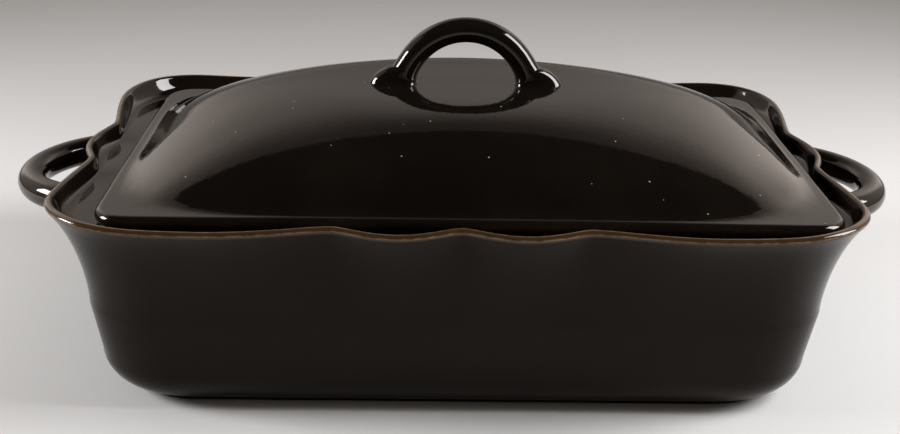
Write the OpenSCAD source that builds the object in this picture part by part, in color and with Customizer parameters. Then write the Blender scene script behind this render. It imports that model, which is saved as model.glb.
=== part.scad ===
// Covered baking dish in dark glazed ceramic: a rectangular dish with a lobed rim and two loop
// handles, and a domed lid with an arched handle that sits in a gallery inside the rim.
// Millimetres. X runs along the long side, Y to the back, Z up; the origin is under the middle.

/* [Dish] */
// Length of the dish over the middle of its lip
rim_len = 378; // [340:1:420]
// Depth of the dish over the middle of its lip
rim_dep = 249; // [225:1:285]
// Height of the middle of the lip
rim_h = 97.5; // [90:0.5:115]
// Corner radius of the lip, seen from above
rim_corner = 44; // [38:1:55]
// How much the corners tighten for each millimetre further in
corner_ease = 0.4; // [0.2:0.05:0.5]
// How far the foot stands inside the lip all round
foot_in = 38.5; // [36:0.5:42]
// Radius between the foot and the wall
foot_round = 22; // [16:1:25]
// How far the waist, the wall's upright part, stands inside the lip
waist_in = 12.6; // [11:0.2:14]
// Height at which the wall starts to flare out
waist_h = 47; // [42:1:54]
// Thickness of the wall
wall = 7.5; // [6:0.5:9]
// Thickness of the floor
floor_t = 8; // [6:0.5:10]
// Thickness of the lip
lip_t = 3.6; // [3:0.2:5]
// Width of the ring that the dish stands on
foot_ring = 9; // [6:0.5:12]
// Depth of the recess inside that ring
foot_recess = 1.5; // [0.8:0.1:2.5]
// Height of the unglazed step at the foot's outer edge
step_up = 2.2; // [1:0.1:3]
// How far that step stands in
step_in = 1.3; // [0.5:0.1:2]

/* [Lobes] */
// Spacing of the notches between the small lobes
lobe_pitch = 57.5; // [50:0.5:64]
// Reach of the large corner lobes from their notch to their widest point
lobe_reach = 60; // [52:1:66]
// How far a notch is pinched in
notch_in = 6.8; // [0:0.1:8]
// How far a notch rises above the lobes
notch_up = 0.8; // [0:0.1:3]
// How far the corners rise above the lobes
corner_up = 2.2; // [0:0.1:4]
// Softness of a notch, from a sharp cusp to a round dip
notch_soft = 0.2; // [0.1:0.05:0.5]

/* [Gallery] */
// Depth of the ledge below the middle of the lip
seat_drop = 7; // [5:0.5:9]
// Width of the sloping collar between the lip and the ledge
collar_w = 9.5; // [9:0.5:11]
// Width of the flat ledge
seat_w = 18.5; // [16:0.5:20]
// Radius of the ledge's inner edge
nose_r = 2; // [1:0.5:3]

/* [Lid] */
// Gap between the middle of the lip and the lid's edge at the two ends
lid_gap_end = 16.2; // [15.6:0.2:17.4]
// Gap between the middle of the lip and the lid's edge at the front and back
lid_gap_side = 19; // [17:0.5:21]
// How far the lid has slid to the right
lid_slide = 5.6; // [0:0.2:6]
// Corner radius of the lid
lid_corner = 15; // [12:1:20]
// Thickness of the lid's edge
edge_t = 7; // [5:0.5:8]
// Width of the lid's flat border outside the dome
border_w = 4.5; // [4:0.5:8]
// Height of the dome above the lid's edge
dome_h = 40.8; // [32:0.2:52]
// Fullness of the dome: higher is flatter on top and steeper at the edge
dome_power = 4; // [2:0.1:5]
// How square the dome is seen from above near its middle: 2 gives ovals
oval_power = 1.8; // [1.6:0.1:3]
// How much squarer it gets on the way out to its foot
square_power = 3.2; // [2:0.1:8]
// Softness of the valley between the dome and the border
valley = 1.3; // [0.5:0.1:2]
// Thickness of the dome
dome_t = 6; // [5:0.5:8]
// Width of the flat foot under the lid's edge
lid_foot = 12; // [9:0.5:14]
// Gap left under the lid, where glaze keeps it off the ledge
seat_gap = 0.2; // [0.1:0.1:0.5]

/* [Lid handle] */
// Radius of the arch, at the middle of the strap
arch_r = 32; // [28:0.2:36]
// Height of the arch above the dome, at the middle of the strap
arch_h = 27.4; // [22:0.2:30]
// Thickness of the strap
strap_t = 12.4; // [11:0.2:14]
// How far the arch stands left of the lid's middle
arch_left = 1.6; // [-4:0.1:4]
// How far the arch stands in front of the lid's middle
arch_front = 8; // [-10:0.5:10]
// Distance between the tips of the two pads
pad_span = 98; // [90:1:106]
// Width of a pad where the strap joins it
pad_w = 17; // [15:0.5:20]
// Width of a pad near its tip
pad_tip = 10; // [8:0.5:13]
// How far a pad stands out of the dome where the strap joins it
pad_h = 6.6; // [4:0.2:8]
// How far it stands out near its tip
pad_tip_h = 3.2; // [2:0.2:5]

/* [End handles] */
// Radius of a loop, at the middle of its tube
loop_r = 42; // [34:1:46]
// How far a loop reaches out from the lip, at the middle of its tube
loop_reach = 30.5; // [26:0.5:36]
// Thickness of the tube
loop_t = 14.6; // [12:0.2:16]
// Clay left between the ledge and the top of the tube
loop_under = 0.5; // [0.5:0.5:6]
// How far a loop droops towards its end, in degrees
loop_droop = 2.5; // [0:0.5:6]

/* [Hidden] */

glaze = "#2b2522";
glaze_light = "#3a322d";

// Numbers of steps round a quarter of the outline, and along each curve of a profile
lobe_steps = 5;
side_steps = 3;
corner_steps = 6;
half_lobe_steps = 3;
end_steps = 2;
foot_steps = 4;
flare_steps = 5;
lip_steps = 4;
collar_steps = 4;
nose_steps = 2;
shelf_steps = 3;
dome_steps = 7;
edge_steps = 4;
tube_sides = 12;
loop_steps = 11;
arch_steps = 12;
pad_steps = 5;

rim_a = rim_len / 2;
rim_b = rim_dep / 2;
side_run = rim_a - rim_corner;
end_run = rim_b - rim_corner;
arc_run = rim_corner * PI / 2;
quarter_run = side_run + arc_run + end_run;
seat_z = rim_h - seat_drop;

// Point at t on the cubic curve through four control points
function bezier(p, t) =
    pow(1 - t, 3) * p[0] + 3 * t * pow(1 - t, 2) * p[1] + 3 * t * t * (1 - t) * p[2] + t * t * t * p[3];

// Stations of a quarter outline, from the middle of a long side to the middle of a short side:
// [share of the long straight, angle round the corner, share of the short straight]
quarter = concat(
    [for (i = [0 : lobe_steps]) [i * lobe_pitch / lobe_steps / side_run, 0, 1]],
    [for (i = [1 : side_steps]) [1 - (1 - lobe_pitch / side_run) * (1 - i / side_steps), 0, 1]],
    [for (i = [1 : corner_steps]) [1, 90 * i / corner_steps, 1]],
    [for (i = [1 : end_steps]) [1, 90, 1 - (1 - lobe_pitch / 2 / end_run) * i / end_steps]],
    [for (i = [1 : half_lobe_steps]) [1, 90, lobe_pitch / 2 / end_run * (1 - i / half_lobe_steps)]]);
stations_q = len(quarter) - 1;
stations = 4 * stations_q;

// Distance along the lip from the middle of the long side to a station
function run_to(q) = q[0] * side_run + rim_corner * q[1] * PI / 180 + (1 - q[2]) * end_run;

// 1 in a notch and 0 in the middle of a lobe, at distance s from the middle of a side that has
// the given number of small lobes, with a large corner lobe beyond them
function notch(s, lobes) =
    let (u = abs(s) - lobes * lobe_pitch / 2,
         phase = u < 0 ? -u / lobe_pitch : min(u / (2 * lobe_reach), 0.5),
         rise = sqrt(pow(sin(180 * phase), 2) + notch_soft * notch_soft))
    1 - (rise - notch_soft) / (sqrt(1 + notch_soft * notch_soft) - notch_soft);

// Pinch and lift of the lip at each station. The lift is a bell curve round the corner's middle
corner_spread = 0.8;
lip_pinch = [for (q = quarter) let (s = run_to(q)) notch(s, 2) + notch(quarter_run - s, 1)];
lip_lift = [for (i = [0 : stations_q])
    let (s = run_to(quarter[i]), off = (s - side_run - arc_run / 2) / (corner_spread * rim_corner))
    notch_up * lip_pinch[i] + corner_up * exp(-off * off)];

// Quarter and place in it of a station counted right round the outline, and its signs in X and Y
function fold(i) = let (k = floor(i / stations_q), j = i % stations_q) k % 2 == 0 ? j : stations_q - j;
function sign_x(i) = i < 2 * stations_q ? 1 : -1;
function sign_y(i) = i < stations_q || i >= 3 * stations_q ? 1 : -1;

// Outline at height z: half sizes a and b, corner radius r, and share w of the lip's lobes
function outline(a, b, r, z, w = 0) = [for (i = [0 : stations - 1])
    let (j = fold(i), q = quarter[j], pinch = notch_in * lip_pinch[j] * w)
    [sign_x(i) * (q[0] * (a - r) + (r - pinch) * sin(q[1])),
     sign_y(i) * (q[2] * (b - r) + (r - pinch) * cos(q[1])),
     z + lip_lift[j] * w]];

// Closed skin over a stack of outlines that starts and ends with a flat face
module skin(rings) {
    n = len(rings[0]);
    m = len(rings);
    faces = concat(
        [[for (i = [n - 1 : -1 : 0]) i]],
        [for (k = [0 : m - 2], i = [0 : n - 1]) [k * n + i, k * n + (i + 1) % n, (k + 1) * n + i]],
        [for (k = [0 : m - 2], i = [0 : n - 1])
            [k * n + (i + 1) % n, (k + 1) * n + (i + 1) % n, (k + 1) * n + i]],
        [[for (i = [0 : n - 1]) (m - 1) * n + i]]);
    polyhedron(points = [for (r = rings, p = r) p], faces = faces);
}

// Profile of the dish as [distance in from the lip, height, share of the lobes], from the recess
// under the floor, out and up the wall, over the lip, and down inside to the floor. lip_dir is the
// direction in which the flare runs into the lip
lip_r = lip_t / 2;
lip_dir = [-0.61, 0.79];
lip_side = [lip_dir[1], -lip_dir[0]];
lip_mid = [0, rim_h];
lip_out = lip_mid - lip_r * lip_side;
lip_in = lip_mid + lip_r * lip_side;
recess_slope = 1;
flare_rise = 14;
flare_pull = 14.5;
collar_pull = 5;
ledge_pull = 2.5;
flare_power = 2;
collar_power = 1.5;
inner_ease = 4;
inner_round = foot_round - inner_ease;
floor_in = foot_in - foot_round + wall + inner_round;
shelf_in = collar_w + seat_w + nose_r;
inner_waist = waist_in + wall;
step_turn = acos(1 - step_up / foot_round);
step_edge = foot_in - foot_round * sin(step_turn);
flare = [[waist_in, waist_h], [waist_in, waist_h + flare_rise], lip_out - flare_pull * lip_dir, lip_out];
collar = [lip_in, lip_in - collar_pull * lip_dir, [collar_w - ledge_pull, seat_z], [collar_w, seat_z]];
shelf_pull = 9;
shelf_pull_low = 16;
shelf_end = waist_h + 4;
shelf = [[shelf_in, seat_z - nose_r], [shelf_in, seat_z - nose_r - shelf_pull],
         [inner_waist, shelf_end + shelf_pull_low], [inner_waist, shelf_end]];

dish_profile = concat(
    [[foot_in + foot_ring + recess_slope, foot_recess, 0], [foot_in + foot_ring, 0, 0]],
    [[step_edge + step_in, 0, 0], [step_edge + step_in, step_up, 0]],
    [for (i = [0 : foot_steps]) let (t = step_turn + (90 - step_turn) * i / foot_steps)
        [foot_in - foot_round * sin(t), foot_round * (1 - cos(t)), 0]],
    [for (i = [0 : flare_steps]) let (t = i / flare_steps, p = bezier(flare, t))
        [p[0], p[1], pow(t, flare_power)]],
    [for (i = [1 : lip_steps]) let (t = 180 * i / lip_steps,
        p = lip_mid + cos(t) * (lip_out - lip_mid) + sin(t) * lip_r * lip_dir) [p[0], p[1], 1]],
    [for (i = [1 : collar_steps]) let (t = i / collar_steps, p = bezier(collar, t))
        [p[0], p[1], pow(1 - t, collar_power)]],
    [for (i = [0 : nose_steps]) let (t = 90 * i / nose_steps)
        [shelf_in - nose_r + nose_r * sin(t), seat_z - nose_r + nose_r * cos(t), 0]],
    [for (i = [1 : shelf_steps]) let (p = bezier(shelf, i / shelf_steps)) [p[0], p[1], 0]],
    [for (i = [0 : foot_steps]) let (t = 90 * i / foot_steps)
        [floor_in - inner_round * cos(t), floor_t + inner_round * (1 - sin(t)), 0]]);

module dish_shell() {
    skin([for (p = dish_profile)
        outline(rim_a - p[0], rim_b - p[0], rim_corner - corner_ease * p[0], p[1], p[2])]);
}

// One section of a handle: an oval slice, w wide and t thick, that stands across the path
section_t = 0.4;
module section(place, turn, w, t) {
    translate(place) rotate(turn) scale([t, w, 1]) cylinder(d = 1, h = section_t, center = true, $fn = tube_sides);
}

// Loop of round tube whose two ends run into the thick wall under the lip
loop_root = rim_a - collar_w - seat_w / 2;
loop_arm = rim_a + loop_reach - loop_r - loop_root;
loop_run = loop_arm + loop_r * PI / 2;
function loop_bend(s) = max(0, (s - loop_arm) / loop_r * 180 / PI);
function loop_place(s) = [min(s, loop_arm) + loop_r * sin(loop_bend(s)), loop_r * cos(loop_bend(s)), 0];

module end_handle() {
    translate([loop_root, 0, seat_z - loop_under - loop_t / 2]) rotate([0, loop_droop, 0])
        for (side = [0, 1]) mirror([0, side, 0])
            for (i = [0 : loop_steps - 1]) hull() for (k = [i, i + 1]) {
                s = loop_run * k / loop_steps;
                section(loop_place(s), [0, 90, -loop_bend(s)], loop_t, loop_t);
            }
}

module dish() {
    color(glaze) {
        dish_shell();
        for (turn = [0, 180]) rotate([0, 0, turn]) end_handle();
    }
}

// Share of the way out from the lid's middle to the dome's foot, for a point at shares u and v of
// the dome's half sizes: a root of a sum of powers. The power grows with the share itself, so that
// level lines are ovals in the middle and a rectangle at the foot. Each pass closes in on it
share_passes = 5;
square_rate = 6;
tiny = 0.000001;
function share_out(u, v, share, passes) = passes == 0 ? share :
    let (power = oval_power + square_power * pow(min(share, 1), square_rate),
         root = pow(pow(u, power) + pow(v, power), 1 / power))
    share_out(u, v, (share + root) / 2, passes - 1);

// Height of the lid's top: the border, or the dome where that is higher, with a soft valley
lid_a = rim_a - lid_gap_end;
lid_b = rim_b - lid_gap_side;
lid_z = seat_z + seat_gap;
dome_a = lid_a - border_w;
dome_b = lid_b - border_w;
edge_r = edge_t / 2;
dome_rise = dome_h - edge_r;
function lid_top(x, y) =
    let (u = abs(x) / dome_a + tiny, v = abs(y) / dome_b + tiny,
         dome = dome_rise * (1 - pow(share_out(u, v, max(u, v), share_passes), dome_power)))
    lid_z + edge_t + dome / 2 + sqrt(dome * dome / 4 + valley * valley);

// Ring of points moved to the height of the lid's top, or a drop below it
function draped(ring, drop = 0) = [for (p = ring) [p[0], p[1], lid_top(p[0], p[1]) - drop]];

// Corner radius of the ring at share u of the way out, for a dome that is b deep from its middle
corner_share = 0.8;
corner_power = 1.5;
function dome_corner(u, b) = b * u * (1 - corner_share * pow(u, corner_power));

module lid_shell() {
    hollow_a = lid_a - edge_r - lid_foot;
    hollow_b = lid_b - edge_r - lid_foot;
    hollow_slope = 2;
    edge_top = lid_top(lid_a - edge_r, 0) - lid_z;
    shares = [for (i = [1 : dome_steps]) sin(90 * i / dome_steps)];
    top = [for (i = [dome_steps - 1 : -1 : 0]) let (u = shares[i])
        draped(outline(dome_a * u, dome_b * u, dome_corner(u, dome_b), 0))];
    edge = [for (i = [0 : edge_steps]) let (t = 180 * i / edge_steps, in = edge_r * (1 - sin(t)))
        outline(lid_a - in, lid_b - in, lid_corner - in, lid_z + edge_top * (1 - cos(t)) / 2)];
    foot = [outline(hollow_a + hollow_slope, hollow_b + hollow_slope, lid_corner, lid_z)];
    under = [for (u = shares)
        draped(outline(hollow_a * u, hollow_b * u, dome_corner(u, hollow_b), 0), dome_t)];
    skin(concat(under, foot, edge, top));
}

// Arched strap whose ends run into the dome, each with a low pad that points outwards
arch_z = lid_top(0, arch_front) + arch_h - arch_r;
arch_sunk = 3;
foot_x = sqrt(max(0, arch_r * arch_r - pow(arch_h - arch_r, 2)));
arch_reach = acos((lid_top(foot_x, arch_front) - arch_sunk - arch_z) / arch_r);
pad_power = 4;
pad_end = 0.1;

module lid_handle() {
    for (i = [0 : 2 * arch_steps - 1]) hull() for (k = [i, i + 1]) {
        t = arch_reach * (k / arch_steps - 1);
        section([arch_r * sin(t), 0, arch_z + arch_r * cos(t)], [0, 90 + t, 0], strap_t, strap_t);
    }
    for (side = [0, 1]) mirror([side, 0, 0]) for (i = [0 : pad_steps - 1]) hull() for (k = [i, i + 1]) {
        u = k / pad_steps;
        x = foot_x + u * (pad_span / 2 - foot_x);
        round_end = sqrt(max(pad_end, 1 - pow(u, pad_power)));
        w = (pad_w + (pad_tip - pad_w) * u) * round_end;
        h = (pad_h + (pad_tip_h - pad_h) * sqrt(u)) * round_end;
        section([x, 0, lid_top(x, arch_front)], [0, 90, 0], w, 2 * h);
    }
}

module lid() {
    color(glaze_light) translate([lid_slide, 0, 0]) {
        lid_shell();
        translate([-arch_left, -arch_front, 0]) lid_handle();
    }
}

dish();
lid();
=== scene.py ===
# %% [markdown]
# # A covered baking dish in dark glazed ceramic
#
# The object is a rectangular dish with a wavy, lobed rim and two loop handles, and a domed lid
# with an arched handle, all in one near-black brown glaze. It is made of five pieces: the dish's
# shell, its two loops, the lid's shell and the lid's handle. This lesson makes each of them as a
# surface worked out with numpy, dresses them in a procedural glaze, and lights them softly.
#
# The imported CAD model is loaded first. It carries the same shapes in a few thousand flat faces,
# which is enough to measure and to collide, but a glossy glaze shows every facet. So each piece
# here repeats the CAD's own formulas on a much finer grid and then stands for the CAD node.

# %% Load the frame
import math

import bpy
import numpy as np
from mathutils import Matrix


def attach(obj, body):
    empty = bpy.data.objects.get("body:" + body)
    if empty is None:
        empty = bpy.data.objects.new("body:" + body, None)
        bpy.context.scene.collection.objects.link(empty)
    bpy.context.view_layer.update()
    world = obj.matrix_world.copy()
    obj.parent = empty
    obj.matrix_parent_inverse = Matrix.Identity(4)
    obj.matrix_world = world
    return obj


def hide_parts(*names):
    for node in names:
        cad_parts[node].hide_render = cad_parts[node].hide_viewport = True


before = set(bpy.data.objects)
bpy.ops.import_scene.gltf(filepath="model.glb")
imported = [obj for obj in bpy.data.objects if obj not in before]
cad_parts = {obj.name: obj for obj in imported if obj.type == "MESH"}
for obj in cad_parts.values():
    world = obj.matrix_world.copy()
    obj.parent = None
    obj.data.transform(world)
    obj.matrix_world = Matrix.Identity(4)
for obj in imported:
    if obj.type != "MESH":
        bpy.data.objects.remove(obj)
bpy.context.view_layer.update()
print("CAD nodes:", sorted(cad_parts))

MM = 0.001

# %% [markdown]
# ## The camera
#
# The camera was fitted to the photograph: the rim, the lid's edge and the handles were marked in
# it, and the position, turn and lens that put the CAD's own points on those marks were solved for.
# A camera can be placed with angles, but a matrix built from its three axes leaves no doubt about
# the order of turns. The slight roll is the photographer's.

# %% Camera
CAMERA_PLACE = np.array([-0.0208, -0.6449, 0.3144])
CAMERA_YAW, CAMERA_PITCH, CAMERA_ROLL = np.radians([1.656, 21.619, 1.371])
LENS_MM, SENSOR_MM, CLIP_FROM, CLIP_TO = 52.0, 36.0, 0.05, 60.0


def camera_axes(yaw, pitch, roll):
    """Right, up and backward directions: a level camera that looks along +Y is turned by yaw to
    the right and by pitch downwards, and then rolled about its own view line."""
    level_ahead = np.array([math.sin(yaw), math.cos(yaw), 0.0])
    ahead = level_ahead * math.cos(pitch) - (0.0, 0.0, math.sin(pitch))
    level = np.array([math.cos(yaw), -math.sin(yaw), 0.0])
    above = np.cross(level, ahead)
    right = level * math.cos(roll) + above * math.sin(roll)
    return right, np.cross(right, ahead), -ahead


camera = bpy.data.objects.new("camera", bpy.data.cameras.new("camera"))
bpy.context.scene.collection.objects.link(camera)
camera.data.lens, camera.data.sensor_width = LENS_MM, SENSOR_MM
camera.data.clip_start, camera.data.clip_end = CLIP_FROM, CLIP_TO
axes = np.eye(4)
right, up, back = camera_axes(CAMERA_YAW, CAMERA_PITCH, CAMERA_ROLL)
axes[:3, 0], axes[:3, 1], axes[:3, 2], axes[:3, 3] = right, up, back, CAMERA_PLACE
camera.matrix_world = Matrix(axes.tolist())
bpy.context.scene.camera = camera
print("camera looks down by %.1f degrees" % math.degrees(CAMERA_PITCH))

# %% [markdown]
# ## Sizes
#
# These are the driving sizes of the CAD source, in millimetres. They come first so that every
# surface below is tied to the same few numbers. A few are the scene's own, set against the
# photograph: the lid's corner is 16.5 in place of 15, the pads under its handle are 7.4 high in
# place of 6.6, END_BORDER_MORE widens the flat border at the lid's ends, and STEP_IN and STEP_UP
# shape the soft step above the foot.

# %% Sizes
RIM_LEN, RIM_DEP, RIM_H, RIM_CORNER, CORNER_EASE = 378.0, 249.0, 97.5, 44.0, 0.4
FOOT_IN, FOOT_ROUND, FOOT_RING, FOOT_RECESS, STEP_IN, STEP_UP = 38.5, 22.0, 9.0, 1.5, 1.3, 2.2
WAIST_IN, WAIST_H, WALL, FLOOR_T, LIP_T = 12.6, 47.0, 7.5, 8.0, 3.6
LOBE_PITCH, LOBE_REACH, LONG_LOBES, END_LOBES = 57.5, 60.0, 2, 1
NOTCH_IN, NOTCH_UP, NOTCH_SOFT, CORNER_UP, CORNER_SPREAD = 6.8, 0.8, 0.2, 2.2, 0.8
SEAT_DROP, COLLAR_W, SEAT_W, NOSE_R = 7.0, 9.5, 18.5, 2.0
LID_GAP_END, LID_GAP_SIDE, LID_SLIDE, LID_CORNER, SEAT_GAP = 16.2, 19.0, 5.6, 16.5, 0.2
EDGE_T, BORDER_W, END_BORDER_MORE, LID_FOOT = 7.0, 4.5, 3.0, 12.0
DOME_H, DOME_POWER, DOME_T, VALLEY = 40.8, 4.0, 6.0, 1.3
OVAL_POWER, SQUARE_POWER, SQUARE_RATE = 1.8, 3.2, 6
ARCH_R, ARCH_H, STRAP_T, ARCH_LEFT, ARCH_FRONT = 32.0, 27.4, 12.4, 1.6, 8.0
PAD_SPAN, PAD_H = 98.0, 7.4
LOOP_R, LOOP_REACH, LOOP_T, LOOP_UNDER, LOOP_DROOP = 42.0, 30.5, 14.6, 0.5, 2.5

rim_a, rim_b = RIM_LEN / 2, RIM_DEP / 2
side_run, end_run, arc_run = rim_a - RIM_CORNER, rim_b - RIM_CORNER, RIM_CORNER * math.pi / 2
quarter_run = side_run + arc_run + end_run
seat_z = RIM_H - SEAT_DROP
print("a quarter of the lip is %.1f mm long" % quarter_run)

# %% [markdown]
# ## A mesh from a grid
#
# Every piece is a grid of points: one direction runs round the piece and closes on itself, the
# other runs along its profile or path. A fan to one middle point closes each end, so that each
# piece is a sound closed shell. Modifiers such as a screw or a bevelled curve make grids too, but
# not one whose profile changes on its way round, so the points are worked out here and go into
# Blender as whole arrays.

# %% Grid to mesh
def closed_shell(name, points, **attributes):
    """A mesh from points[ring, station], in millimetres. Stations close on themselves, each pair
    of neighbouring rings gives a belt of quads, and each end ring gives a fan of triangles round
    the mean of its points. attributes are values per point, which shaders read by name."""
    rings, stations = points.shape[:2]
    index = np.arange(rings * stations).reshape(rings, stations)
    ahead = np.roll(index, -1, axis=1)
    quads = np.stack([index[:-1], ahead[:-1], ahead[1:], index[1:]], axis=-1).reshape(-1, 4)
    first, last = rings * stations, rings * stations + 1
    start = np.stack([ahead[0], index[0], np.full(stations, first)], axis=-1)
    end = np.stack([index[-1], ahead[-1], np.full(stations, last)], axis=-1)
    middles = [points[0].mean(0)[None], points[-1].mean(0)[None]]
    places = np.concatenate([points.reshape(-1, 3), *middles]) * MM
    corners = np.concatenate([quads.ravel(), start.ravel(), end.ravel()])
    sizes = np.concatenate([np.full(len(quads), 4), np.full(2 * stations, 3)])
    mesh = bpy.data.meshes.new(name)
    mesh.vertices.add(len(places))
    mesh.vertices.foreach_set("co", places.astype(np.float32).ravel())
    mesh.loops.add(len(corners))
    mesh.loops.foreach_set("vertex_index", corners.astype(np.int32))
    mesh.polygons.add(len(sizes))
    mesh.polygons.foreach_set("loop_start", (np.cumsum(sizes) - sizes).astype(np.int32))
    mesh.polygons.foreach_set("use_smooth", np.ones(len(sizes), dtype=bool))
    for key, values in attributes.items():
        filled = np.broadcast_to(values, (rings, stations))
        layer = mesh.attributes.new(key, "FLOAT", "POINT")
        layer.data.foreach_set("value", np.concatenate(
            [filled.ravel(), [filled[0].mean(), filled[-1].mean()]]).astype(np.float32))
    mesh.update(calc_edges=True)
    mesh.validate()
    piece = bpy.data.objects.new(name, mesh)
    bpy.context.scene.collection.objects.link(piece)
    print("%s: %d triangles" % (name, len(quads) * 2 + 2 * stations))
    return piece


def bezier(ends, t):
    """The cubic curve: four points weighted by (1-t)^3, 3t(1-t)^2, 3t^2(1-t) and t^3."""
    t = np.asarray(t)[:, None]
    a, b, c, d = np.asarray(ends, float)
    return (1 - t) ** 3 * a + 3 * t * (1 - t) ** 2 * b + 3 * t * t * (1 - t) * c + t ** 3 * d


# %% [markdown]
# ## The outline, with its lobes
#
# Seen from above the rim is a rounded rectangle that is pinched inwards at notches, like the edge
# of a pie. It could be drawn by hand as a curve, but one formula keeps all four corners alike: a
# sine between neighbouring notches, whose sharp cusp is softened a little, as glaze softens it.
# The lift of the lip follows the same wave, and is highest at the corners.

# %% Wave along a quarter of the outline
STATIONS_Q = 200


def notch(s, lobes):
    """1 in a notch and 0 in the middle of a lobe, at distance s along the lip from the middle of
    a side with that many small lobes: 1 less the sine of the share of the way to the next notch,
    taken through a root of its square plus a constant so that the cusp is soft."""
    past = np.abs(s) - lobes * LOBE_PITCH / 2
    phase = np.where(past < 0, -past / LOBE_PITCH, np.minimum(past / (2 * LOBE_REACH), 0.5))
    rise = np.sqrt(np.sin(np.pi * phase) ** 2 + NOTCH_SOFT ** 2)
    return 1 - (rise - NOTCH_SOFT) / (math.sqrt(1 + NOTCH_SOFT ** 2) - NOTCH_SOFT)


run = np.linspace(0, quarter_run, STATIONS_Q + 1)
side_share = np.clip(run / side_run, 0, 1)
turn = np.clip((run - side_run) / RIM_CORNER, 0, math.pi / 2)
end_share = 1 - np.clip((run - side_run - arc_run) / end_run, 0, 1)
pinch_q = notch(run, LONG_LOBES) + notch(quarter_run - run, END_LOBES)
past_corner = (run - side_run - arc_run / 2) / (CORNER_SPREAD * RIM_CORNER)
lift_q = NOTCH_UP * pinch_q + CORNER_UP * np.exp(-past_corner ** 2)
print("the lip dips by up to %.1f mm and rises by up to %.1f mm"
      % (NOTCH_IN * pinch_q.max(), lift_q.max()))

# %% Outlines
SOFT_STATIONS = 5.0

count = np.arange(4 * STATIONS_Q)
place_in_quarter = count % STATIONS_Q
fold = np.where(count // STATIONS_Q % 2 == 0, place_in_quarter, STATIONS_Q - place_in_quarter)
sign_x = np.where(count < 2 * STATIONS_Q, 1.0, -1.0)
sign_y = np.where((count < STATIONS_Q) | (count >= 3 * STATIONS_Q), 1.0, -1.0)


def soften(values):
    """Weighted mean of each station and its neighbours, by a bell curve over a few stations. It
    turns the sudden change from straight side to round corner into a gradual one."""
    reach = int(3 * SOFT_STATIONS)
    offsets = np.arange(-reach, reach + 1)
    weights = np.exp(-0.5 * (offsets / SOFT_STATIONS) ** 2)
    weights /= weights.sum()
    return sum(w * np.roll(values, k, axis=1) for w, k in zip(weights, offsets))


def outlines(a, b, r, z, w=0.0):
    """Rings of points at heights z: rounded rectangles with half sizes a and b and corner radius
    r, given per ring, pinched and lifted by the lobes as far as the share w says."""
    rows = np.shape(z) or (1,)
    a, b, r, z, w = (np.broadcast_to(np.asarray(v, float), rows)[:, None] for v in (a, b, r, z, w))
    x = soften(sign_x * (side_share[fold] * (a - r) + r * np.sin(turn[fold])))
    y = soften(sign_y * (end_share[fold] * (b - r) + r * np.cos(turn[fold])))
    pinch = NOTCH_IN * pinch_q[fold] * w
    return np.stack([x - sign_x * pinch * np.sin(turn[fold]),
                     y - sign_y * pinch * np.cos(turn[fold]),
                     z + lift_q[fold] * w], axis=-1)


print("a ring has %d stations" % len(count))

# %% [markdown]
# ## The dish
#
# One profile, carried round the outline, makes the whole dish: from under the floor over the foot
# ring, up the wall, out in the flare, over the thin lip and down the collar to the ledge on which
# the lid rests, and then down inside. Separate walls and rims would have to be joined, and their
# seams would show in the gloss. The share w of the lobes grows along the flare, so the waves fade
# into the wall, and fades down the collar, where they end as soft flutes. The collar falls
# steeply from the lip, and so it catches a lamp. The first two columns of a profile are the
# distance in from the middle of the lip and the height, and the third is the share w.

# %% Foot and lip
FLOOR_ROUND_LESS = 4.0

lip_r = LIP_T / 2
lip_up, lip_side = np.array([-0.61, 0.79]), np.array([0.79, 0.61])
lip_mid = np.array([0.0, RIM_H])
lip_out, lip_in = lip_mid - lip_side * lip_r, lip_mid + lip_side * lip_r


def arc(centre, start, steps):
    """Half a circle from start round centre, by cosine and sine of an even angle; the direction
    across is start less centre, turned by a quarter."""
    t = np.linspace(0, np.pi, steps + 1)[1:, None]
    spoke = start - centre
    across = np.array([[spoke[1], -spoke[0]]])
    return centre + np.cos(t) * spoke + np.sin(t) * across


foot_t = np.linspace(0.0, np.pi / 2, 15)
foot_arc = np.column_stack([FOOT_IN - FOOT_ROUND * np.sin(foot_t),
                            FOOT_ROUND * (1 - np.cos(foot_t))])
foot_arc = foot_arc[foot_arc[:, 1] >= STEP_UP]
foot_edge = FOOT_IN - FOOT_ROUND * math.sin(math.acos(1 - STEP_UP / FOOT_ROUND))
ring_x, step_x = FOOT_IN + FOOT_RING, foot_edge + STEP_IN
foot = np.array([[ring_x + 1, FOOT_RECESS], [ring_x, 0.0], [step_x + 0.6, 0.0],
                 [step_x + 0.15, 0.15], [step_x, 0.6], [step_x, STEP_UP - 0.9],
                 [step_x - 0.4, STEP_UP - 0.5], [foot_edge + 0.35, STEP_UP - 0.35],
                 [foot_edge, STEP_UP]])
lip = arc(lip_mid, lip_out, 14)
print("foot: %d points, lip: %d points" % (len(foot) + len(foot_arc), len(lip)))

# %% Flare, collar and inside
FLARE_UP, FLARE_PULL = 14, 14.5
COLLAR_DIP, COLLAR_FOOT, COLLAR_FADE = (1.8, -4.4), 3.9, 0.75
UNDER_NOSE, INNER_PULL, INNER_FROM = 9, 20, 4

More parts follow.
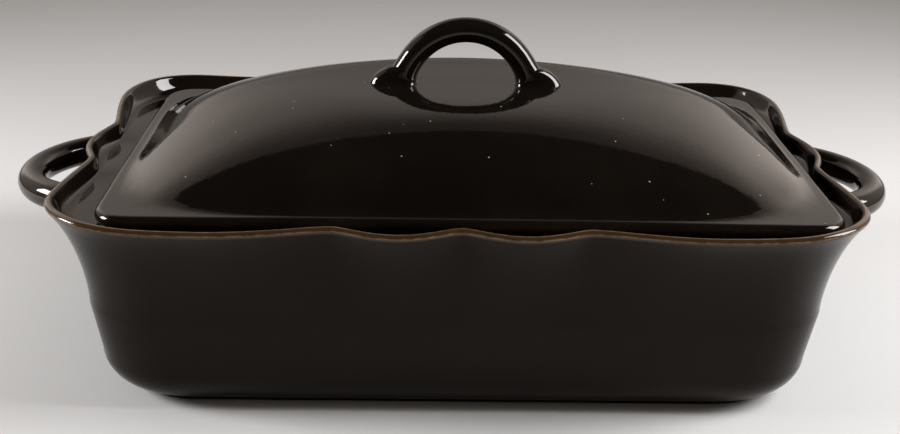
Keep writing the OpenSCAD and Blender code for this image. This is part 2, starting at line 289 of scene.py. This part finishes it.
t_flare = np.linspace(0, 1, 31)
flare = bezier([(WAIST_IN, WAIST_H), (WAIST_IN, WAIST_H + FLARE_UP),
                lip_out - FLARE_PULL * lip_up, lip_out], t_flare)
t_collar = np.linspace(0, 1, 21)[1:]
collar = bezier([lip_in, lip_in + COLLAR_DIP, (COLLAR_FOOT, seat_z), (COLLAR_W, seat_z)], t_collar)
shelf_in, inner_x = COLLAR_W + SEAT_W + NOSE_R, WAIST_IN + WALL
t_nose = np.linspace(0, np.pi / 2, 4)
nose = np.column_stack([shelf_in - NOSE_R + NOSE_R * np.sin(t_nose),
                        seat_z - NOSE_R + NOSE_R * np.cos(t_nose)])
shelf = bezier([(shelf_in, seat_z - NOSE_R), (shelf_in, seat_z - NOSE_R - UNDER_NOSE),
                (inner_x, WAIST_H + INNER_PULL), (inner_x, WAIST_H + INNER_FROM)],
               np.linspace(0, 1, 7)[1:])
inner_round = FOOT_ROUND - FLOOR_ROUND_LESS
floor_in = FOOT_IN - FOOT_ROUND + WALL + inner_round
t_floor = np.linspace(0, np.pi / 2, 8)
floor_arc = np.column_stack([floor_in - inner_round * np.cos(t_floor),
                             FLOOR_T + inner_round * (1 - np.sin(t_floor))])
print("the ledge is %.1f mm wide" % (shelf_in - COLLAR_W))

# %% Whole profile
def with_share(points, share):
    """Adds the share of the lobes as a third column."""
    return np.column_stack([points, np.broadcast_to(share, len(points))])


profile = np.concatenate([
    with_share(foot, 0), with_share(foot_arc, 0), with_share(flare, t_flare ** 2),
    with_share(lip, 1), with_share(collar, (1 - t_collar) ** COLLAR_FADE),
    with_share(nose, 0), with_share(shelf, 0), with_share(floor_arc, 0)])
steps = np.linalg.norm(np.diff(profile[:, :2], axis=0), axis=1)
along = np.concatenate([[0], np.cumsum(steps)])
crest = along[len(foot) + len(foot_arc) + len(flare) + len(lip) // 2 - 1]
print("profile: %d points, %.0f mm from the recess to the floor inside" % (len(profile), along[-1]))

# %% Shell of the dish
inset = profile[:, 0]
dish_points = outlines(rim_a - inset, rim_b - inset, RIM_CORNER - CORNER_EASE * inset,
                       profile[:, 1], profile[:, 2])
dish = closed_shell("dish_shell", dish_points, from_lip=(along - crest)[:, None])

# %% [markdown]
# ## The loop handles
#
# A loop is a round roll of clay, bent to a half ring and pressed to the wall under the lip. A
# curve with a bevel would give its tube, but not the swelling where it was pressed on. So it is a
# circle carried along a path whose radius grows near both roots, at the sides and below.

# %% Loops
LOOP_RINGS, LOOP_SIDES = 120, 36
ROOT_SWELL, ROOT_FADE, WALL_AT = 3.2, 7.0, 9.0

loop_root = rim_a - COLLAR_W - SEAT_W / 2
loop_arm = rim_a + LOOP_REACH - LOOP_R - loop_root
loop_run = loop_arm + LOOP_R * math.pi / 2
loop_z = seat_z - LOOP_UNDER - LOOP_T / 2


def loop_points(side):
    """A circle carried along arm, half ring and arm. Half the path is mirrored to the other half.
    The circle stands across the path; its radius is that of the tube, plus a swelling that fades
    as a bell curve of the distance from the wall and is nil on top of the tube."""
    s = np.linspace(-loop_run, loop_run, LOOP_RINGS + 1)
    from_root = loop_run - np.abs(s)
    bend = np.maximum(0, (from_root - loop_arm) / LOOP_R)
    centre = np.stack([np.minimum(from_root, loop_arm) + LOOP_R * np.sin(bend),
                       -np.sign(s) * LOOP_R * np.cos(bend)], -1)
    outward = np.stack([np.sin(bend), -np.sign(s) * np.cos(bend)], -1)
    angle = np.linspace(0, 2 * np.pi, LOOP_SIDES, endpoint=False)
    swell = ROOT_SWELL * np.exp(-(np.maximum(from_root - WALL_AT, 0) / ROOT_FADE) ** 2)[:, None]
    radius = LOOP_T / 2 + swell * (1 - np.maximum(0, np.sin(angle)))[None]
    flat = centre[:, None] + outward[:, None] * (radius * np.cos(angle))[..., None]
    up_down = radius * np.sin(angle)
    droop = math.radians(LOOP_DROOP)
    x = loop_root + flat[..., 0] * math.cos(droop) + up_down * math.sin(droop)
    z = loop_z - flat[..., 0] * math.sin(droop) + up_down * math.cos(droop)
    points = np.stack([side * x, side * flat[..., 1], z], -1)
    return points, np.cos(angle)[None] * np.ones_like(radius)


loop_pieces = []
for side, name in ((-1, "loop_left"), (1, "loop_right")):
    points, outside = loop_points(side)
    loop_pieces.append(closed_shell(name, points, outside=outside))

# %% [markdown]
# ## The lid
#
# The lid is a pillow: it falls off smoothly to all four sides and then runs out into a narrow
# flat border. It could be a subdivided box pulled into shape, but then its curves would follow
# the box's cuts. Here rings carry the border's round edge, and the height of the top is one
# smooth function of x and y, so that no ring shows in a reflection.

# %% Height of the lid's top
SHARE_ROUNDS, NOT_NOUGHT = 5, 1e-9

lid_a, lid_b = rim_a - LID_GAP_END, rim_b - LID_GAP_SIDE
lid_z = seat_z + SEAT_GAP
dome_a, dome_b = lid_a - BORDER_W - END_BORDER_MORE, lid_b - BORDER_W
edge_r = EDGE_T / 2
dome_rise = DOME_H - edge_r


def share_out(x, y):
    """How far out a point lies, from 0 in the middle to 1 at the dome's foot: the root of the sum
    of powers of x and y over the half sizes. The power is about 2 in the middle, where the level
    lines are ovals, and grows with the share itself, so that they end as a rectangle. The share
    is found by working it out several times over, each time half way from the last one."""
    u, v = np.abs(x / dome_a) + NOT_NOUGHT, np.abs(y / dome_b) + NOT_NOUGHT
    share = np.maximum(u, v)
    for _ in range(SHARE_ROUNDS):
        power = OVAL_POWER + SQUARE_POWER * np.minimum(share, 1) ** SQUARE_RATE
        share = 0.5 * share + 0.5 * (u ** power + v ** power) ** (1 / power)
    return share


def lid_height(x, y):
    """The border's height plus a soft maximum of nought and the dome, where the dome is its rise
    times one less a power of the share of the way out. The soft maximum is half the value plus
    the root of its square over four and a constant: it rounds the valley at the dome's foot."""
    dome = dome_rise * (1 - share_out(x, y) ** DOME_POWER)
    return lid_z + EDGE_T + dome / 2 + np.sqrt(dome ** 2 / 4 + VALLEY ** 2)


print("lid: %.0f x %.0f mm, %.1f mm to its top" % (2 * lid_a, 2 * lid_b, lid_height(0, 0)))

# %% Top and border of the lid
DOME_RINGS, BORDER_RINGS = 46, 8


def dome_corner(u, b):
    """Corner radius of the ring at share u from the middle: half the depth there at first, and
    about a fifth of it at the border."""
    return b * u * (1 - 0.8 * u ** 1.5)


u_top = np.linspace(1, 1 / DOME_RINGS, DOME_RINGS)
top = outlines(dome_a * u_top, dome_b * u_top, dome_corner(u_top, dome_b), 0 * u_top)
share = np.linspace(0, 1, BORDER_RINGS + 1)[:-1]
corner_in = LID_CORNER - edge_r
border = outlines(lid_a - edge_r + share * (edge_r - BORDER_W - END_BORDER_MORE),
                  lid_b - edge_r + share * (edge_r - BORDER_W),
                  corner_in + share * (dome_corner(1, dome_b) - corner_in), 0 * share)
for rings in (top, border):
    rings[..., 2] = lid_height(rings[..., 0], rings[..., 1])
print("the dome falls by %.1f mm to the border" % np.ptp(top[..., 2]))

# %% Edge and underside, and the shell of the lid
EDGE_RINGS, UNDER_RINGS, HOLLOW_EASE = 14, 12, 2

hollow_a, hollow_b = lid_a - edge_r - LID_FOOT, lid_b - edge_r - LID_FOOT
t_edge = np.linspace(0, np.pi, EDGE_RINGS + 1)[:-1]
edge_in = edge_r * (1 - np.sin(t_edge))
edge = outlines(lid_a - edge_in, lid_b - edge_in, LID_CORNER - edge_in, 0 * t_edge)
edge[..., 2] = lid_z + (border[:1, :, 2] - lid_z) * (1 - np.cos(t_edge))[:, None] / 2
u_under = np.linspace(1 / UNDER_RINGS, 1, UNDER_RINGS)
under = outlines(hollow_a * u_under, hollow_b * u_under, dome_corner(u_under, hollow_b),
                 0 * u_under)
under[..., 2] = lid_height(under[..., 0], under[..., 1]) - DOME_T
under_foot = outlines(hollow_a + HOLLOW_EASE, hollow_b + HOLLOW_EASE, LID_CORNER,
                      np.array([lid_z]))
lid_points = np.concatenate([under, under_foot, edge, border, top])
lid_points[..., 0] += LID_SLIDE
first_edge = len(under) + len(under_foot)
edge_share = np.zeros(len(lid_points))
edge_share[first_edge:first_edge + EDGE_RINGS] = np.sin(t_edge)
lid = closed_shell("lid_shell", lid_points, edge=edge_share[:, None])

# %% [markdown]
# ## The handle on the lid
#
# The handle is a strap of clay bent to an arch. Its ends were pressed on to the dome and drawn out
# into short tongues. A tube along an arc gives the arch; for the feet, the same rings open out as
# they come down: a little on the inside and at the sides, like a fillet, and far on the outside,
# where they follow the rounded top of the tongue. So arch, fillets and tongues are one surface.

# %% Feet of the handle
strap_r = STRAP_T / 2
tongue = PAD_SPAN / 2 - (ARCH_R + strap_r)
FILLET_IN, FILLET_SIDE, SHOULDER = (1.3, 1.6), (1.4, 2.0), (1.4, 2.2)
RIDGE_FALL, RIDGE_ROUND = 1.7, 0.7


def foot_growth(h):
    """How far a ring at height h over the dome grows inwards, sideways and outwards. Inwards and
    sideways it is a fillet that fades exponentially, with a size and a rate in millimetres;
    outwards it is a shoulder above the tongue, and the tongue's ridge, which falls as a power of
    one less a power of the height as a share of the tongue's own."""
    low = np.maximum(h, 0)
    inward, sideways = (size * np.exp(-low / fade) for size, fade in (FILLET_IN, FILLET_SIDE))
    shoulder = SHOULDER[0] * np.exp(-np.maximum(low - PAD_H, 0) / SHOULDER[1])
    ridge = np.maximum(0, 1 - np.minimum(low / PAD_H, 1) ** RIDGE_FALL) ** RIDGE_ROUND
    return inward, sideways, shoulder + (tongue - SHOULDER[0]) * ridge


print("a tongue reaches %.1f mm past the strap" % tongue)

# %% Handle of the lid
ARCH_RINGS, FOOT_RINGS, ARCH_SIDES = 72, 56, 64
FOOT_FROM, FOOT_TO, FOOT_TILT, HIGH = 15.0, -1.5, 0.02, 99.0

lid_middle = lid_height(0, -ARCH_FRONT)
arch_z = lid_middle + ARCH_H - ARCH_R


def arch_angle_at(height):
    """Angle from the top of the arch at which its middle line is that high above the dome: the
    arc cosine of the height over the arch's own middle, as a share of its radius."""
    return np.arccos((height - ARCH_H + ARCH_R) / ARCH_R)


def handle_points():
    """Rings across an arc; ring heights over the dome drive the growth of the two feet, and the
    plane of each ring turns from across the arc to along the dome as it comes down."""
    heights = np.linspace(FOOT_FROM, FOOT_TO, FOOT_RINGS + 1)[1:]
    arch = np.linspace(0, arch_angle_at(FOOT_FROM), ARCH_RINGS // 2 + 1)
    half = np.concatenate([arch, arch_angle_at(heights)])
    above = np.concatenate([np.full(len(arch), HIGH), heights])
    angle = np.concatenate([-half[:0:-1], half])
    above = np.concatenate([above[:0:-1], above])
    side = np.where(angle < 0, -1.0, 1.0)
    level = np.clip((FOOT_FROM - above) / FOOT_FROM, 0, 1)
    level = level * level * (3 - 2 * level)
    lean = np.abs(angle) + level * (np.pi / 2 + FOOT_TILT - np.abs(angle))
    x = ARCH_R * np.sin(angle)
    z = arch_z + ARCH_R * np.cos(angle) + level * (lid_height(x, -ARCH_FRONT) - lid_middle)
    inward, sideways, outward = (v[:, None] for v in foot_growth(above))
    phi = np.linspace(0, 2 * np.pi, ARCH_SIDES, endpoint=False)
    reach = np.where(np.cos(phi) > 0, strap_r + outward, strap_r + inward) * np.cos(phi)
    px = x[:, None] + reach * (np.sin(lean) * side)[:, None]
    py = (strap_r + sideways) * np.sin(phi)
    pz = z[:, None] + reach * np.cos(lean)[:, None]
    return np.stack([px + LID_SLIDE - ARCH_LEFT, py - ARCH_FRONT, pz], -1)


handle = closed_shell("lid_handle", handle_points())

# %% [markdown]
# ## Writing shaders as sums
#
# A glaze is a pattern worked out from numbers, and a chain of Math nodes is hard to read. This
# small class wraps one socket, so that a shader reads like the formula it stands for: adding or
# multiplying two wires adds the node that does it. Every other node comes from one method.

# %% Wires
class Wire:
    """One value or vector in a shader. The operators add Math nodes."""

    def __init__(self, tree, socket):
        self.tree, self.socket = tree, socket

    def node(self, kind, settings=None, inputs=None, output=0):
        """Adds a node of the given type, sets its settings, gives its sockets values or links,
        and returns one of its outputs as a wire."""
        made = self.tree.nodes.new(kind)
        for key, value in (settings or {}).items():
            setattr(made, key, value)
        for key, value in (inputs or {}).items():
            if isinstance(value, Wire):
                self.tree.links.new(value.socket, made.inputs[key])
            else:
                made.inputs[key].default_value = value
        return Wire(self.tree, made.outputs[output])

    def maths(self, operation, *values):
        return self.node("ShaderNodeMath", {"operation": operation}, dict(enumerate(values)))

    def __add__(self, other):
        return self.maths("ADD", self, other)

    def __sub__(self, other):
        return self.maths("SUBTRACT", self, other)

    def __rsub__(self, other):
        return self.maths("SUBTRACT", other, self)

    def __mul__(self, other):
        return self.maths("MULTIPLY", self, other)

    def __truediv__(self, other):
        return self.maths("DIVIDE", self, other)

    __radd__, __rmul__ = __add__, __mul__

    def __neg__(self):
        return self * -1.0

    def __abs__(self):
        return self.maths("ABSOLUTE", self)

    def power(self, exponent):
        return self.maths("POWER", self, exponent)

    def least(self, other):
        return self.maths("MINIMUM", self, other)

    def bell(self, width):
        """Bell curve: e to the power of minus the square of the value over the width."""
        scaled = self / width
        return self.maths("EXPONENT", -(scaled * scaled))

    def ramp(self, low, high):
        """Smooth step: 0 below low and 1 above high, or the other way round if low is higher."""
        down = low > high
        stepped = self.node("ShaderNodeMapRange", {"interpolation_type": "SMOOTHSTEP"},
                            {0: self, 1: min(low, high), 2: max(low, high), 3: 0.0, 4: 1.0})
        return 1.0 - stepped if down else stepped

    def mix(self, low, high):
        """A colour between two others; this wire is the share of the second."""
        return self.node("ShaderNodeMix", {"data_type": "RGBA", "clamp_factor": False},
                         {0: self, 6: low, 7: high}, output=2)


# %% A new material
def new_material(name):
    """A material with a plain Principled shader; returns it, its shader node and its object
    coordinates as a wire."""
    material = bpy.data.materials.new(name)
    material.use_nodes = True
    tree = material.node_tree
    shader = tree.nodes["Principled BSDF"]
    place = Wire(tree, tree.nodes.new("ShaderNodeTexCoord").outputs["Object"])
    return material, shader, place


def connect(wire, socket):
    wire.tree.links.new(wire.socket, socket)


# %% [markdown]
# ## The glaze
#
# The glaze is an iron glaze: near black where it lies thick, and brown where it draws back from
# an edge. It could be painted by height, but the brown follows the lip's crest, which waves. So
# each piece carries its own measure as an attribute: the distance from the crest along the
# profile, or how far out a point is on a round edge. Close to the crest, on either side, runs a
# thin light brown line that breaks up here and there, with darker brown between the two. Broad
# mottling, a faint orange peel, slow swells and a few pale specks on the lid do the rest.

# %% Brown and specks
BLACK, WARM_BLACK = (0.0058, 0.0040, 0.0028, 1.0), (0.0082, 0.0056, 0.0038, 1.0)
TAN, DARK_BROWN = (0.21, 0.132, 0.072, 1.0), (0.050, 0.024, 0.008, 1.0)
SPECK, SPECK_SHARE, SPECK_SCALE = (0.46, 0.40, 0.32, 1.0), 0.8, 150.0


def brown_lip(colour, place, cloud, fine):
    """Lays brown over a colour by the distance from the crest in millimetres: a wide faint halo,
    dark brown close by, and a light line as a bell curve round a distance a little off it. Noise
    is added to the distance so that all three wander."""
    lip_mm = place.node("ShaderNodeAttribute", {"attribute_name": "from_lip"}, {}, output=2)
    wander = (cloud - 0.5) * 1.2 + (fine - 0.5) * 1.6
    off = abs(lip_mm)
    thin = (off + wander).ramp(2.4, 1.1)
    line = (off - 1.4 + wander * 0.3).bell(0.40) * (fine.ramp(0.35, 0.62) * 0.6 + 0.35)
    halo = off.bell(8.0) * 0.05
    return line.mix(thin.mix(halo.mix(colour, DARK_BROWN), DARK_BROWN), TAN)


def brown_edge(colour, place, cloud, measure):
    """Lays dark brown, broken up by the mottling, over the outermost part of a round edge."""
    far_out = place.node("ShaderNodeAttribute", {"attribute_name": measure}, {}, output=2)
    return (far_out.ramp(0.7, 1.0) * cloud.ramp(0.35, 0.75) * 0.3).mix(colour, DARK_BROWN)


def specks(colour, place):
    """Pale dots round the points of a cell pattern. Each cell's own random colour gives the size
    of its dot, and in about half of the cells it is nil."""
    pattern = {"Vector": place, "Scale": SPECK_SCALE, "Randomness": 1.0}
    cells = place.node("ShaderNodeTexVoronoi", {}, pattern)
    pick = place.node("ShaderNodeTexVoronoi", {}, pattern, output=1)
    chance = pick.node("ShaderNodeSeparateColor", {}, {0: pick})
    dots = (cells - chance.ramp(0.55, 1.0) * 0.075).ramp(0.006, -0.018)
    return (dots * SPECK_SHARE).mix(colour, SPECK)


# %% Glaze
CLOUD_SCALE, FINE_SCALE, WAVE_SCALE, CERAMIC_IOR = 22.0, 260.0, 14.0, 1.47


def glaze(name, roughness, specular, tint, measure=None, speckled=False):
    """The dark glaze. measure tells how brown a point is: "lip" reads the distance from the crest,
    "edge" and "outside" read how far out a point is on a round edge or a roll of clay."""
    material, shader, place = new_material(name)
    cloud = place.node("ShaderNodeTexNoise", {}, {
        "Vector": place, "Scale": CLOUD_SCALE, "Detail": 4.0, "Roughness": 0.6})
    fine = place.node("ShaderNodeTexNoise", {}, {
        "Vector": place, "Scale": FINE_SCALE, "Detail": 3.0, "Roughness": 0.5})
    colour = cloud.ramp(0.35, 0.7).mix(BLACK, WARM_BLACK)
    if measure == "lip":
        colour = brown_lip(colour, place, cloud, fine)
    elif measure:
        colour = brown_edge(colour, place, cloud, measure)
    if speckled:
        colour = specks(colour, place)
    connect(colour, shader.inputs["Base Color"])
    connect(fine * 0.035 + cloud * 0.03 + (roughness - 0.03), shader.inputs["Roughness"])
    shader.inputs["IOR"].default_value = CERAMIC_IOR
    shader.inputs["Specular IOR Level"].default_value = specular
    shader.inputs["Specular Tint"].default_value = tint
    waves = place.node("ShaderNodeTexNoise", {}, {
        "Vector": place, "Scale": WAVE_SCALE, "Detail": 1.0})
    peel = place.node("ShaderNodeBump", {}, {
        "Strength": 0.10, "Distance": 0.0004, "Height": fine})
    swell = place.node("ShaderNodeBump", {}, {
        "Strength": 0.22, "Distance": 0.004, "Height": waves, "Normal": peel})
    connect(swell, shader.inputs["Normal"])
    print("glaze", name, "has", len(material.node_tree.nodes), "nodes")
    return material


# The outer wall's glaze is a duller copy with darker, warmer reflections: partly a satin wall,
# partly painted shade for the dim room in front that it mirrors.
WARM_TINT, WALL_SHADE_TINT = (1.0, 0.93, 0.87, 1.0), (1.0, 0.86, 0.78, 1.0)
dull_shaded_wall_glaze = glaze("glaze_on_wall_satin_and_shaded", 0.17, 0.15, WALL_SHADE_TINT, "lip")
rim_glaze = glaze("glaze_on_rim", 0.05, 0.5, WARM_TINT, "lip")
loop_glaze = glaze("glaze_on_loops", 0.05, 0.5, WARM_TINT, "outside")
lid_glaze = glaze("glaze_on_lid", 0.05, 0.5, WARM_TINT, "edge", speckled=True)
handle_glaze = glaze("glaze_on_handle", 0.04, 0.5, WARM_TINT)

# %% [markdown]
# ## Dressing the pieces
#
# The dish's shell takes two finishes: the outer wall is a little duller than the rim, the collar
# and the lid, and mirrors with a darker, warmer tint. This is partly a satin wall and partly
# painted
# shade: the duller copy of the one glaze stands in for the dim room that the wall mirrors. The
# shell could be cut in two for this, but a face can take either material by its place along the
# profile, and so no seam opens. Every piece rides on the part's one body, and the shells stand for
# the two
# CAD nodes.

# %% Finishes and bodies
BELOW_CREST = 3.2

ring_faces = 4 * STATIONS_Q
dish.data.materials.append(rim_glaze)
dish.data.materials.append(dull_shaded_wall_glaze)
ring_of_face = np.minimum(np.arange(len(dish.data.polygons)) // ring_faces, len(profile) - 2)
# Faces of the outer wall below the crest take the duller glaze, which is partly satin and partly
# painted shade.
outer = np.where(along[ring_of_face] < crest - BELOW_CREST, 1, 0).astype(np.int32)
outer[(len(profile) - 1) * ring_faces:] = 0
dish.data.polygons.foreach_set("material_index", outer)
for piece, finish in zip((lid, handle, *loop_pieces),
                         (lid_glaze, handle_glaze, loop_glaze, loop_glaze)):
    piece.data.materials.append(finish)
for piece in (dish, *loop_pieces, lid, handle):
    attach(piece, "root")
    "lid_glaze" if piece in (lid, handle) else "dish_glaze"
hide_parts("dish")
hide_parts("lid")
print("%d of %d faces of the shell are outer wall" % (outer.sum(), len(outer)))

# %% [markdown]
# ## The floor
#
# The dish stands on plain paper, off-white and warm, so that the cool lamps leave it neutral. A
# flat colour would do, but real paper is never quite even, and so a wide noise moves it between
# two close tones.

# %% Floor
FLOOR_REACH = 9
PAPER_DARK, PAPER_PALE = (0.845, 0.787, 0.722, 1), (0.880, 0.822, 0.757, 1)

floor_mesh = bpy.data.meshes.new("floor")
floor_mesh.from_pydata([(x * FLOOR_REACH, y * FLOOR_REACH, 0)
                        for x, y in ((-1, -1), (1, -1), (1, 1), (-1, 1))], [], [(0, 1, 2, 3)])
floor = bpy.data.objects.new("floor", floor_mesh)
bpy.context.scene.collection.objects.link(floor)
paper, paper_shader, paper_place = new_material("paper")
paper_cloud = paper_place.node("ShaderNodeTexNoise", {}, {
    "Vector": paper_place, "Scale": 6.0, "Detail": 4.0})
connect(paper_cloud.mix(PAPER_DARK, PAPER_PALE), paper_shader.inputs["Base Color"])
paper_shader.inputs["Roughness"].default_value = 0.75
paper_shader.inputs["Specular IOR Level"].default_value = 0.2
floor_mesh.materials.append(paper)
print("floor: %d m wide" % (2 * FLOOR_REACH))

# %% [markdown]
# ## The room
#
# A dark gloss shows the room more than itself. In the photograph the lid mirrors a pale backdrop
# up to a straight edge high above and behind it, and a dark room in front of that edge. Panels
# could be built for this, but the world's background does it without getting in the way of any
# camera: it is pale behind that edge and dark before it, for mirrored rays alone.
#
# A ray's direction has parts x to the right, y to the back and z up. The backdrop ends at a
# height that falls towards the sides. Below its edge it fades as it rises. It is dim in the
# middle and bright at both sides. All other rays meet a weak even light, and the camera a grey.

# %% Room
WARM, EVEN, SEEN = (1.13, 1.0, 0.91), (0.135, 0.13, 0.125, 1), (0.50, 0.485, 0.47, 1)
DARK_ROOM = 0.008

world = bpy.data.worlds.new("room")
bpy.context.scene.world = world
world.use_nodes = True
room = world.node_tree
direction = Wire(room, room.nodes.new("ShaderNodeTexCoord").outputs["Generated"])
x, y, z = (direction.node("ShaderNodeSeparateXYZ", {}, {0: direction}, output=part)
           for part in range(3))
outwards = abs(x)
below_edge = (z + outwards * outwards * 0.35).ramp(0.888, 0.868)
at_back = (y + outwards * 0.25).ramp(-0.1, 0.05)
fade_up = z.ramp(0.84, 0.58) * 0.72 + 0.28
middle = z.ramp(0.05, 0.48) * 0.26 + 0.16
sides = (outwards / 0.55).power(2.6).least(0.9) * (outwards.ramp(0.70, 0.57) * 0.8 + 0.2)
level = below_edge * at_back * fade_up * (middle + sides) + DARK_ROOM
mirrored = level.node("ShaderNodeVectorMath", {"operation": "SCALE"}, {0: WARM, "Scale": level})
camera_ray, glossy_ray = (direction.node("ShaderNodeLightPath", output=kind)
                          for kind in ("Is Camera Ray", "Is Glossy Ray"))
shade = camera_ray.mix(glossy_ray.mix(EVEN, mirrored), SEEN)
connect(shade, room.nodes["Background"].inputs["Color"])
print("the room has", len(room.nodes), "nodes")

# %% [markdown]
# ## The lamps
#
# Two softboxes stand near the dish, a tall one at its right and a small low one at its left. Their
# places were read from the photograph: from the highlights on the loops and the collar, and from
# how the floor darkens away from them. Far lamps would light the floor evenly. They are as strong
# as it takes for the paper beside the dish to render about as its colour is written. A cloth grid
# in front of them, which Blender calls spread, keeps the floor right below them from burning out.

# %% Lamps
COOL, SPREAD, AIM = (0.93, 0.98, 1.06), math.radians(145), (0.0, 0.0, 0.1)


def softbox(name, azimuth, elevation, away, wide, tall, watts):
    """A rectangular lamp that faces the middle of the object, seen from there at an azimuth, from
    the back round to the right, and an elevation, both in degrees, and at a distance in metres."""
    lamp = bpy.data.objects.new(name, bpy.data.lights.new(name, "AREA"))
    bpy.context.scene.collection.objects.link(lamp)
    lamp.data.shape, lamp.data.size, lamp.data.size_y = "RECTANGLE", wide, tall
    lamp.data.energy, lamp.data.color, lamp.data.spread = watts, COOL, SPREAD
    turn, rise = math.radians(azimuth), math.radians(elevation)
    level_outward = np.array([math.sin(turn), math.cos(turn), 0.0])
    outward = level_outward * math.cos(rise) + (0.0, 0.0, math.sin(rise))
    across = np.cross([0.0, 0.0, 1.0], outward)
    across /= np.linalg.norm(across)
    turned = np.eye(4)
    turned[:3, 0], turned[:3, 1], turned[:3, 2] = across, np.cross(outward, across), outward
    turned[:3, 3] = outward * away + AIM
    lamp.matrix_world = Matrix(turned.tolist())
    print("%s: %.1f W, %.2f x %.2f m" % (name, watts, wide, tall))


softbox("light_right", 98, 32, 1.02, 0.40, 0.62, 8.2)
softbox("light_left", -95, 19, 1.02, 0.30, 0.30, 5.6)

bpy.context.scene.view_settings.view_transform = "Standard"
